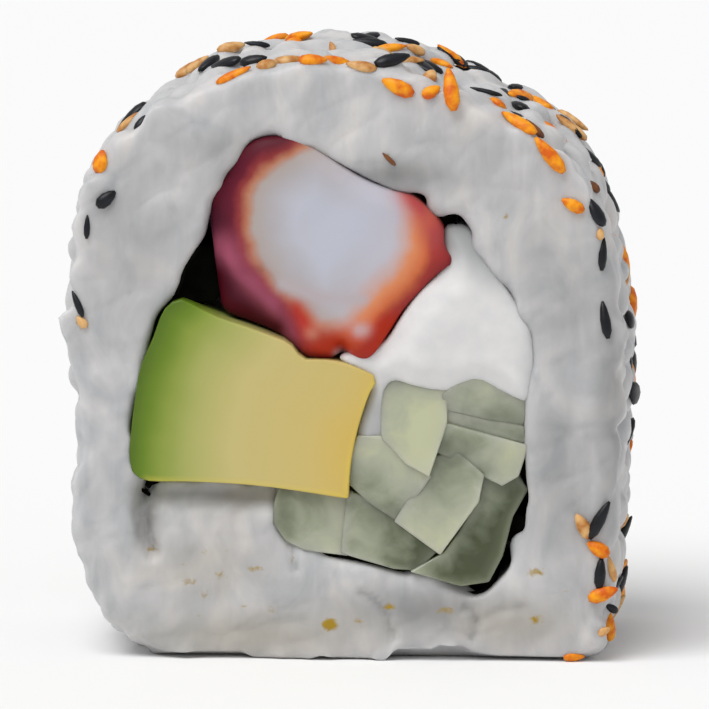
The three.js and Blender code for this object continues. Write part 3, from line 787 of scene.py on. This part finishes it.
def press_prawn(x, out, z):
    """Domes the slice, sinks its left side and corner, and shapes its lobes, notch, fold and crease."""
    face = fade(out, HALF - 4, HALF - 0.6)
    rim = np.clip(inside_by(x, z, prawn_ring), 0, None)
    past = np.clip(-inside_by(x, z, flesh_ring), 0, None)
    left = fade(-x - 0.5 * (z - 34), 2, 8) * fade(past, 0, 3)
    corner = 1 - fade(off_line(x, z, CORNER), 0.3, 3)
    lobes = sum(h * np.exp(-(((x - a) ** 2 + (z - b) ** 2) / r ** 2)) for a, b, r, h in LOBES)
    notch = trace(x, z, NOTCH, 0.4)
    fold = trace(x, z, FOLD, 0.8)
    crease = trace(x, z, CREASE, 0.4)
    dome = 0.4 * fade(rim, 0, 1.6) - 0.3
    out = out + face * (dome - 0.8 * left - 0.9 * corner + lobes - 0.8 * notch + 0.45 * fold - 0.3 * crease)
    return x, out + face * 0.1 * unevenness(x, out, z, 3, 8), z


shape(prawn_slice, press_prawn)

# %% Prawn marks
# Marks on the slice: a kind, the line that each follows, and its width
MARKS = [
    ("mauve", [(-9.2, 33), (-7.9, 31), (-6.4, 29.3), (-5, 27.6), (-4.2, 25.8)], 1.25),
    ("rose", [(5.4, 37.6), (6.6, 36), (7.8, 34)], 1.1),
    # This wine mark follows the sunk lower-left corner: the skin's dark red, deepened there as painted shade
    ("wine", [(-9.9, 30.5), (-9.5, 28.6), (-7.6, 27.6), (-5.4, 26.4)], 0.9),
    ("wine", [(-10.3, 37), (-8.6, 40.4), (-6.4, 41.9), (-4.6, 41.9)], 0.9),
    ("ember", [(-3.6, 28), (-2.6, 25.6), (1.6, 25.2), (4.2, 27)], 1.1),
    ("ember", [(-0.8, 25.4), (3, 25.6)], 1.2),
    ("blush", [(-2.3, 26.3), (-2.1, 26.3)], 0.55),
    ("pale", [(1.6, 26.6), (1.9, 26.6)], 0.6),
    ("veil", [(-4.6, 30.2), (-1.6, 29.2), (1.8, 29)], 0.5),
    ("pale", [(-0.2, 24.6), (0.4, 24.4)], 0.35),
]
x, y, z = points_of(prawn_slice).T
store(prawn_slice, "past_flesh", np.clip(-inside_by(x, z, flesh_ring) / 10 + 0.4, 0, 1))
# The side picks the left ramp, whose darker purple is partly painted shade on the receding side
store(prawn_slice, "side", fade(x, -3.5, 3))
PRAWN_TINTS = {
    "rose": "b04a4a", "ember": "b42a08", "mauve": "984a60", "wine": "50081a", "blush": "b8705c",
    "pale": "b49a9c", "veil": "b3a9ad",
}
mottle = 0.9 + 0.4 * unevenness(x, y, z, 1.6, 15)
for kind in PRAWN_TINTS:
    near = [trace(x, z, line, width) for name, line, width in MARKS if name == kind]
    store(prawn_slice, kind, np.clip(np.max(near, axis=0) * mottle, 0, 1))

# %% Prawn finish
# Cooked prawn: firm and wet, clear enough for light to spread under the skin. The skin side carries the
# pigment.
prawn_material, tree, shader = finish("cooked_prawn", {
    "Roughness": 0.5, "IOR": 1.33, "Subsurface Weight": 0.15, "Subsurface Radius": (1.2, 0.6, 0.5),
    "Subsurface Scale": 0.001, "Specular IOR Level": 0.3,
})
spot = add(tree, "ShaderNodeTexCoord").outputs["Object"]
past = add(tree, "ShaderNodeAttribute", attribute_name="past_flesh").outputs["Fac"]
moved = wandering(tree, spot, past, 0.12, {"Scale": 1 / (2.2 * MM), "Detail": 3.0})
# The left ramp runs to purple and near-black wine: partly the skin's pigment, partly painted shade
left = add(tree, "ShaderNodeValToRGB", {"Fac": moved}, stops=[
    (0.0, "b9bbc6"), (0.2, "aea9ac"), (0.33, "ada19c"), (0.4, "b4785c"), (0.46, "8c3636"), (0.52, "601628"),
    (0.62, "460a20"), (0.85, "2c0516")])
right = add(tree, "ShaderNodeValToRGB", {"Fac": moved}, stops=[
    (0.0, "b9bcc8"), (0.3, "b9b6bf"), (0.4, "c4a39c"), (0.48, "d4885e"), (0.58, "cc6e44"), (0.66, "a43a34"),
    (0.8, "84222a")])
side = add(tree, "ShaderNodeAttribute", attribute_name="side").outputs["Fac"]
colour = add(tree, "ShaderNodeMix", {0: side, 6: left.outputs["Color"], 7: right.outputs["Color"]},
             data_type="RGBA").outputs[2]
for kept, tint in PRAWN_TINTS.items():
    colour = tinted(tree, colour, kept, tint)
grain = add(tree, "ShaderNodeTexNoise", {"Vector": spot, "Scale": 1 / (0.6 * MM), "Detail": 3.0})
cover(tree, shader, colour, grain.outputs["Fac"], 0.2, 0.06)
serve(prawn_slice, prawn_material, "prawn", "prawn")

# %% [markdown]
# ## Avocado
# Ripe avocado cuts like butter, so its face is smooth and its edges stay crisp. Its colour goes from deep
# green at the skin to butter yellow at the stone, which is a ramp over the distance from the skin side.

# %% Avocado wedge
SKIN_SIDE = [(-12.7, 29.2), (-14.2, 28.2), (-16, 23.6), (-17, 18), (-17, 14.2)]
PARED_EDGE = [(-15.5, 14.3), (-7.5, 14.1), (0.65, 13.1), (0.8, 15.8), (2.3, 21.4), (2.9, 22.7)]
avocado_ring = smooth_ring(AVOCADO, FILLING_STEP)
avocado_wedge = firm_piece(block(avocado_ring, HALF), "avocado_wedge", 0.12)


def press_avocado(x, out, z):
    """Makes the face a little uneven."""
    face = fade(out, HALF - 4, HALF - 0.6)
    return x, out + face * 0.12 * unevenness(x, out, z, 8, 5), z


shape(avocado_wedge, press_avocado)
x, y, z = points_of(avocado_wedge).T
store(avocado_wedge, "from_skin", off_line(x, z, SKIN_SIDE) / 20)
store(avocado_wedge, "rim", 0.38 * (1 - fade(off_line(x, z, PARED_EDGE), 0.1, 0.45)))

# %% Avocado finish
# Avocado flesh: fatty and fine, so it is satin, with light spreading a little under the surface.
avocado_material, tree, shader = finish("ripe_avocado", {
    "Roughness": 0.45, "IOR": 1.34, "Subsurface Weight": 0.15, "Subsurface Radius": (1.0, 0.8, 0.3),
    "Subsurface Scale": 0.0008, "Coat Weight": 0.06, "Coat Roughness": 0.3,
})
spot = add(tree, "ShaderNodeTexCoord").outputs["Object"]
skin = add(tree, "ShaderNodeAttribute", attribute_name="from_skin").outputs["Fac"]
moved = wandering(tree, spot, skin, 0.06, {"Scale": 1 / (4 * MM), "Detail": 2.0})
flesh = add(tree, "ShaderNodeValToRGB", {"Fac": moved}, stops=[
    (0.0, "4a6412"), (0.07, "64801e"), (0.14, "86963c"), (0.25, "a7a960"), (0.42, "c2b576"),
    (0.72, "c8b36e"), (0.87, "ccb05c"), (0.97, "d8ae3a")])
colour = tinted(tree, flesh.outputs["Color"], "rim", "d8c24e")
fine = add(tree, "ShaderNodeTexNoise", {"Vector": spot, "Scale": 1 / (0.8 * MM), "Detail": 3.0})
cover(tree, shader, colour, fine.outputs["Fac"], 0.15, 0.08)
serve(avocado_wedge, avocado_material, "avocado", "avocado")

# %% [markdown]
# ## Soft cheese
# Fresh cream cheese is pressed into the room that the firmer pieces leave. It has no edges of its own: it
# bulges at the cut and sinks where it meets its neighbours.

# %% Soft cheese
RIDGE = [(10.2, 31), (8.6, 28), (6.5, 25.2)]
CHEESE_SPREAD = 0.12  # how much it is swelled so that it presses on its neighbours
cheese_ring = smooth_ring(CHEESE, 0.6)
cheese_ring = cheese_ring + outward_of(cheese_ring) * CHEESE_SPREAD
soft_cheese = piece_of(block(cheese_ring, HALF + 0.05, 0.5), "soft_cheese")
soften(soft_cheese, SOFT_VOXEL, 4)


def press_cheese(x, out, z):
    """Bulges the cheese along a ridge, and sinks its rim, its top and its lobe."""
    face = fade(out, HALF - 4, HALF - 0.5)
    rim = np.clip(inside_by(x, z, cheese_ring), 0, None)
    ridge = trace(x, z, RIDGE, 2.2)
    top = 1.2 * fade(z, 29, 34.5)
    lobe = 0.5 * (1 - fade(x, 2.5, 4)) * (1 - fade(z, 21.5, 23))
    lumps = 0.18 * unevenness(x, out, z, 4, 6)
    return x, out + face * (0.5 * fade(rim, 0, 2.2) - 0.3 + 0.25 * ridge - top - lobe + lumps), z


shape(soft_cheese, press_cheese)
x, y, z = points_of(soft_cheese).T
# Painted shade: grey where the top sinks, on the lobe and along the right edge
shaded_top = fade(z + 0.5 * x, 34.5, 38.5)
lobe = 0.8 * (1 - fade(z, 20, 23)) * (1 - fade(x, 3.6, 4.6))
store(soft_cheese, "cheese_painted_shade", np.maximum(np.maximum(shaded_top, lobe), 0.35 * fade(x, 14, 15.5)))

# %% Soft cheese finish
# Fresh cream cheese: dense and fatty, so light blurs under a dull, smooth skin. Grey tints are painted
# shade.
cheese_material, tree, shader = finish("fresh_cream_cheese", {
    "Roughness": 0.5, "IOR": 1.35, "Subsurface Weight": 0.45, "Subsurface Radius": (1.0, 0.95, 0.9),
    "Subsurface Scale": 0.002, "Coat Weight": 0.1, "Coat Roughness": 0.35,
})
spot = add(tree, "ShaderNodeTexCoord").outputs["Object"]
curd = add(tree, "ShaderNodeTexNoise", {"Vector": spot, "Scale": 1 / (1.5 * MM), "Detail": 4.0})
white = add(tree, "ShaderNodeValToRGB", {"Fac": curd.outputs["Fac"]},
            stops=[(0.3, "d5d4d4"), (0.7, "dedddc")])
# The grey tint is painted shade
colour = tinted(tree, white.outputs["Color"], "cheese_painted_shade", "a2a4a4")
cover(tree, shader, colour, curd.outputs["Fac"], 0.2, 0.1)
serve(soft_cheese, cheese_material, "cream_cheese", "cream_cheese")

# %% [markdown]
# ## Cucumber
# The batons are knife-cut, so they have flat sides and plain corners, and the second cut went through all
# of them at slightly different angles. Each is an extruded outline whose end is leaned a little and finely
# bevelled. A thin bright edge is painted along each end as painted highlight, and painted shading drifts
# across each end as light falls on a facet, paler towards its top.

# %% Cucumber finish
# Cucumber flesh is mostly water: light passes deep into it, so the batons look glassy and clouded, under a
# wet shine.
cucumber_material, tree, shader = finish("wet_cucumber", {
    "Roughness": 0.3, "IOR": 1.36, "Subsurface Weight": 0.7, "Subsurface Radius": (0.9, 1.0, 0.7),
    "Subsurface Scale": 0.004, "Coat Weight": 0.3, "Coat Roughness": 0.2,
})
spot = add(tree, "ShaderNodeTexCoord").outputs["Object"]
# The baton's own tone, with painted shading drifted over it
tone_and_painted_light = add(tree, "ShaderNodeAttribute", attribute_name="tone_and_painted_light").outputs["Fac"]
moved = wandering(tree, spot, tone_and_painted_light, 0.8, {"Scale": 1 / (2.2 * MM), "Detail": 3.0, "Distortion": 0.4})
flesh = add(tree, "ShaderNodeValToRGB", {"Fac": moved}, stops=[
    (0.0, "bdc09f"), (0.3, "a8ac98"), (0.6, "8b917c"), (1.0, "4b5239")])
# Painted highlight: a pale tint along each end's rim
colour = tinted(tree, flesh.outputs["Color"], "rim", "ced2bf")
wet = add(tree, "ShaderNodeTexNoise", {"Vector": spot, "Scale": 1 / (0.7 * MM), "Detail": 3.0})
cover(tree, shader, colour, wet.outputs["Fac"], 0.25, 0.1)

# %% Cucumber batons
SQUEEZE = 0.3  # how much each baton is swelled so that it presses on its neighbours
# The drift is painted shading, as light falls on a facet
LIGHT_TURN = 137  # degrees from the way that one baton's shade drifts to the way of the next


def cut_baton(number, corners, sunk, lean_x, lean_z, tone):
    """One baton: an extruded outline with a leaning end, and painted shading that drifts across it and pales
    towards its top.
    """
    ring = anticlockwise(np.array(corners, float))
    middle = ring.mean(axis=0)
    ring = middle + (ring - middle) * (1 + SQUEEZE / np.linalg.norm(ring - middle, axis=1).mean())
    baton = firm_piece(block(ring, HALF - sunk), f"cucumber_baton_{number}", 0.14)

    def lean_end(x, out, z):
        face = fade(out, HALF - 5, HALF - sunk - 0.3)
        slope_x = math.tan(math.radians(lean_x))
        slope_z = math.tan(math.radians(lean_z))
        slope = (x - middle[0]) * slope_x + (z - middle[1]) * slope_z
        return x, out + face * (slope + 0.08 * unevenness(x, out, z, 2.5, 20 + number)), z

    shape(baton, lean_end)
    x, y, z = points_of(baton).T
    lit = math.radians(number * LIGHT_TURN)
    painted_light_drift = ((x - middle[0]) * math.cos(lit) + (z - middle[1]) * math.sin(lit)) / 8
    # Painted shading: the tone drifts across the end as light falls on a facet, and pales towards the top
    store(baton, "tone_and_painted_light", tone + painted_light_drift - 0.02 * (z - middle[1]))
    # The rim marks the painted highlight along the edge of each end
    store(baton, "rim", 0.14 * (1 - fade(inside_by(x, z, ring), 0.1, 0.8)))
    serve(baton, cucumber_material, "cucumber", f"cucumber_{number}")


for number, baton in enumerate(BATONS, start=1):
    cut_baton(number, *baton)

# %% [markdown]
# ## Camera
# The camera looks almost straight at the cut from a little above and to the right, from far off through a
# long lens, so the cut is nearly undistorted. It comes before the sesame, because the seeds that show at
# the rim are laid where the camera sees them.

# %% Camera
FRAME_PX = 709
PX_PER_MM = 12.6  # at the cut
ORIGIN_PX = (340, 662)  # where the middle of the front edge of the base shows
AZIMUTH = math.radians(3.5)
ELEVATION = math.radians(7.5)
DISTANCE = 0.8
SIGHT = Vector(((FRAME_PX / 2 - ORIGIN_PX[0]) / PX_PER_MM / math.cos(AZIMUTH), -HALF,
                (ORIGIN_PX[1] - FRAME_PX / 2) / PX_PER_MM / math.cos(ELEVATION))) * MM
SENSOR = 36.0


def way_to(azimuth, elevation):
    """The direction from the piece to a place that looks at it from an azimuth and elevation, in radians."""
    return Vector((math.sin(azimuth) * math.cos(elevation), -math.cos(azimuth) * math.cos(elevation),
                   math.sin(elevation)))


towards = way_to(AZIMUTH, ELEVATION)
camera_data = bpy.data.cameras.new("camera")
camera_data.sensor_width = SENSOR
camera_data.lens = SENSOR * DISTANCE / (FRAME_PX / PX_PER_MM * MM)
camera_data.clip_start = 0.01
camera = bpy.data.objects.new("camera", camera_data)
camera.location = SIGHT + towards * DISTANCE
camera.rotation_euler = towards.to_track_quat("Z", "Y").to_euler()
bpy.context.scene.collection.objects.link(camera)
bpy.context.scene.camera = camera
print("lens", round(camera_data.lens), "mm")

# %% [markdown]
# ## Sesame
# The roll was turned in black sesame, orange-dyed sesame and a few toasted tan seeds. A seed is a flat
# teardrop. The ones at the rim are listed one by one, by the pixel where each shows, and a ray from the
# camera finds the rice below it. The rest are strewn over the wrap with a fixed seed for the random
# numbers.

# %% List of the seeds at the rim
# Kind, pixel across and down, tilt in degrees, and the length and width that show in millimetres
SEEN_SEEDS = [
    ("orange", 90, 159, 80, 2.0, 1.6), ("black", 141, 124, 65, 1.6, 0.9), ("black", 106, 199, 40, 2.0, 1.3),
    ("black", 87, 227, 88, 2.0, 0.6), ("black", 78, 304, 115, 2.4, 0.7), ("tan", 82, 322, 130, 1.2, 0.9),
    ("tan", 128, 123, 40, 2.4, 0.8), ("tan", 198, 65, 28, 2.4, 1.0), ("tan", 231, 49, 30, 2.6, 1.3),
    ("black", 257, 45, 178, 2.2, 0.7), ("black", 254, 62, 0, 2.4, 1.3), ("orange", 234, 76, 22, 3.2, 1.0),
    ("tan", 267, 66, 30, 2.0, 1.2), ("tan", 290, 62, 5, 2.8, 1.2), ("orange", 313, 61, 0, 2.4, 1.2),
    ("orange", 337, 63, 175, 2.6, 1.2), ("tan", 361, 67, 170, 2.6, 1.1), ("tan", 333, 48, 120, 1.2, 0.7),
    ("black", 370, 44, 175, 3.0, 1.1), ("black", 407, 42, 175, 2.2, 0.7), ("orange", 391, 49, 8, 2.6, 1.0),
    ("tan", 415, 50, 160, 1.8, 1.0), ("black", 392, 61, 25, 3.2, 1.4), ("tan", 411, 61, 12, 2.3, 0.9),
    ("black", 431, 68, 145, 2.2, 0.9), ("orange", 398, 87, 155, 2.9, 1.5), ("tan", 430, 78, 70, 1.6, 1.4),
    ("orange", 431, 92, 30, 1.7, 1.2), ("orange", 451, 90, 97, 3.8, 1.5), ("black", 470, 69, 168, 2.8, 0.7),
    ("black", 486, 92, 165, 2.8, 0.55), ("black", 522, 99, 165, 1.3, 0.6),
    ("orange", 519, 124, 135, 3.6, 1.3), ("orange", 550, 155, 130, 3.8, 1.4),
    ("brown", 534, 129, 138, 2.2, 0.8), ("orange", 573, 205, 152, 2.1, 1.2),
    ("brown", 594, 187, 130, 1.2, 0.8), ("black", 595, 213, 115, 2.7, 1.4), ("tan", 600, 234, 90, 1.0, 0.8),
    ("black", 602, 254, 85, 2.8, 0.9), ("black", 605, 320, 98, 3.2, 1.0), ("tan", 583, 526, 120, 2.4, 1.3),
    ("black", 599, 520, 62, 3.6, 1.2), ("orange", 598, 549, 150, 2.1, 1.4),
    ("black", 600, 573, 85, 2.7, 1.1), ("tan", 610, 569, 105, 2.3, 1.0), ("orange", 603, 594, 20, 2.6, 1.4),
    ("black", 611, 608, 150, 1.4, 0.8), ("orange", 608, 626, 105, 2.6, 1.3),
    ("tan", 619, 632, 30, 1.2, 0.8), ("orange", 574, 656, 0, 1.8, 0.9), ("brown", 389, 159, 135, 1.5, 0.45),
]
seeds = {kind: bmesh.new() for kind in ("black", "orange", "tan", "brown")}
print("seeds at the rim:", len(SEEN_SEEDS))

# %% Seeds at the rim
SEED = (3.2, 1.9, 0.95)  # length, width and thickness of a sesame seed
SEED_POINT = 0.45  # how much narrower a seed is at its pointed end
THICKEST = 0.9  # how thick a seed at the rim can be
SEED_LIFT = 0.2  # how far a seed's middle stands off the rice, in thicknesses
rice_shape = BVHTree.FromPolygons([v.co for v in rice_wall.data.vertices],
                                  [p.vertices[:] for p in rice_wall.data.polygons])


def lay_seed(kind, place, outward, along, length, width, thick):
    """Lays one teardrop seed on the rice: its length along the surface, its blunt end first."""
    z = outward.normalized()
    x = (along - z * along.dot(z)).normalized()
    turned = Matrix((x, z.cross(x), z)).transposed().to_4x4()
    sized = Matrix.Diagonal((length * MM, width * MM, thick * MM, 1))
    made = bmesh.ops.create_icosphere(seeds[kind], subdivisions=2, radius=0.5)["verts"]
    for v in made:
        v.co.yz *= 1 - SEED_POINT * (v.co.x + 0.5) ** 1.5
    bmesh.ops.transform(seeds[kind], matrix=Matrix.Translation(place) @ turned @ sized, verts=made)
    for v in made:
        v.co.z = max(v.co.z, 0)


lens_scale = SENSOR / camera_data.lens / FRAME_PX
to_world = towards.to_track_quat("Z", "Y").to_matrix()
for kind, px, py, tilt, length, width in SEEN_SEEDS:
    sight = Vector(((px - FRAME_PX / 2) * lens_scale, (FRAME_PX / 2 - py) * lens_scale, -1))
    ray = (to_world @ sight).normalized()
    place, normal, _, _ = rice_shape.ray_cast(camera.location, ray)
    if place is None:
        beside = camera.location + ray * DISTANCE
        place, normal, _, _ = rice_shape.find_nearest(beside)
    turn = math.radians(tilt)
    along = to_world @ Vector((math.cos(turn), math.sin(turn), 0))
    outward = normal.normalized() + 0.7 * towards
    thick = min(THICKEST, 0.7 * width)
    raised = place + outward.normalized() * thick * SEED_LIFT * MM
    lay_seed(kind, raised, outward, along, length, width, thick)

# %% Strewn seeds
# They start behind the listed ones, and lie thinner on both upright walls than over the top, most so on the
# left
STREWN = 85
FROM_FRONT = 4.5  # how far they stay from the front cut
FROM_BACK = 1.0
HALFWAY_UP = 0.024  # in metres, where the rays that find their places aim
RAY_START = 0.06  # in metres, how far out they start
random.seed(29)
strewn = 0
while strewn < STREWN:
    angle = random.uniform(0, math.tau)
    y = random.uniform(-HALF + FROM_FRONT, HALF - FROM_BACK)
    aim = Vector((math.cos(angle), 0, math.sin(angle)))
    crowd = (0.25 + 0.75 * fade(aim.x, -0.7, 0.4)) * (1 - 0.6 * fade(aim.x, 0.75, 0.9))
    place, normal, _, _ = rice_shape.ray_cast(Vector((0, y * MM, HALFWAY_UP)) + aim * RAY_START, -aim)
    if random.random() > crowd or place is None:
        continue
    underneath = normal.z < -0.6 or place.z < 1.5 * MM
    on_cut = abs(normal.y) > 0.8
    if underneath or on_cut:
        continue
    strewn += 1
    kind = random.choices(("black", "orange", "tan"), (0.45, 0.4, 0.15))[0]
    along = Vector([random.uniform(-1, 1) for _ in range(3)])
    tipped = aim + normal.normalized() + 0.3 * Vector([random.uniform(-1, 1) for _ in range(3)])
    sized = [s * random.uniform(0.85, 1.1) for s in SEED]
    lay_seed(kind, place + normal * random.uniform(-0.15, 0.15) * MM, tipped, along, *sized)
print("strewn seeds:", strewn)

# %% Seed finishes
# Sesame hulls are thin, dry and finely pitted, with a satin shine. Black ones keep a blue-grey gleam, the
# dyed ones are brightest where the dye pooled, and the toasted ones are a patchy tan. Each has the name of
# its finish, its darkest and palest colour, its roughness, its gleam and its slot.
SEED_FINISHES = {
    "black": ("black_sesame_hull", "040507", "10121b", 0.42, 0.12, "black_sesame"),
    "orange": ("orange_dyed_sesame_hull", "d25c00", "f4a010", 0.5, 0.05, "orange_sesame"),
    "tan": ("toasted_sesame_hull", "b07030", "dcae72", 0.45, 0.15, "tan_sesame"),
    "brown": ("dark_toasted_sesame_hull", "3e1e0e", "7a4a28", 0.45, 0.1, "tan_sesame"),
}
for kind, (name, low, high, rough, gleam, slot) in SEED_FINISHES.items():
    hull, tree, shader = finish(name, {
        "Roughness": rough, "Coat Weight": gleam, "Coat Roughness": 0.3, "IOR": 1.35})
    spot = add(tree, "ShaderNodeTexCoord").outputs["Object"]
    patch = add(tree, "ShaderNodeTexNoise", {"Vector": spot, "Scale": 1 / (0.9 * MM), "Detail": 3.0})
    colour = add(tree, "ShaderNodeValToRGB", {"Fac": patch.outputs["Fac"]},
                 stops=[(0.35, low), (0.62, high)])
    pits = add(tree, "ShaderNodeTexNoise", {"Vector": spot, "Scale": 1 / (0.18 * MM), "Detail": 2.0})
    cover(tree, shader, colour.outputs["Color"], pits.outputs["Fac"], 0.5, 0.04)
    sesame = piece_of(seeds[kind], f"{kind}_sesame")
    shade_smooth(sesame)
    serve(sesame, hull, slot)

# %% [markdown]
# ## Floor and light
# Food photographed on white needs soft light from above and in front, or the white rice merges with the
# ground. One broad light from the upper left models the lumps, and the pale room and board fill the rest.

# %% Floor
FLOOR_RADIUS = 3.0  # in metres, so that its edge is out of sight
floor_mesh = bmesh.new()
bmesh.ops.create_circle(floor_mesh, cap_ends=True, segments=64, radius=FLOOR_RADIUS)
floor = piece_of(floor_mesh, "floor")
floor_material, tree, shader = finish("matt_white_board", {"Base Color": linear("f4f4f4"), "Roughness": 0.9})
floor.data.materials.append(floor_material)
print("floor:", 2 * FLOOR_RADIUS, "m across")


# %% Light
def lamp(name, elevation, azimuth, spread, power):
    """A soft light from far away, so that the roll and the board are lit alike."""
    light = bpy.data.lights.new(name, "SUN")
    light.angle = math.radians(spread)
    light.energy = power
    holder = bpy.data.objects.new(name, light)
    away = way_to(math.radians(azimuth), math.radians(elevation))
    holder.rotation_euler = away.to_track_quat("Z", "Y").to_euler()
    bpy.context.scene.collection.objects.link(holder)


lamp("key", elevation=58, azimuth=-35, spread=40, power=2.15)
world = bpy.data.worlds.new("pale_room")
world.use_nodes = True
room = world.node_tree.nodes["Background"].inputs
room["Color"].default_value = linear("f6f6f6")
room["Strength"].default_value = 0.55
bpy.context.scene.world = world
bpy.context.scene.view_settings.view_transform = "Standard"
print("lights:", len(bpy.data.lights))
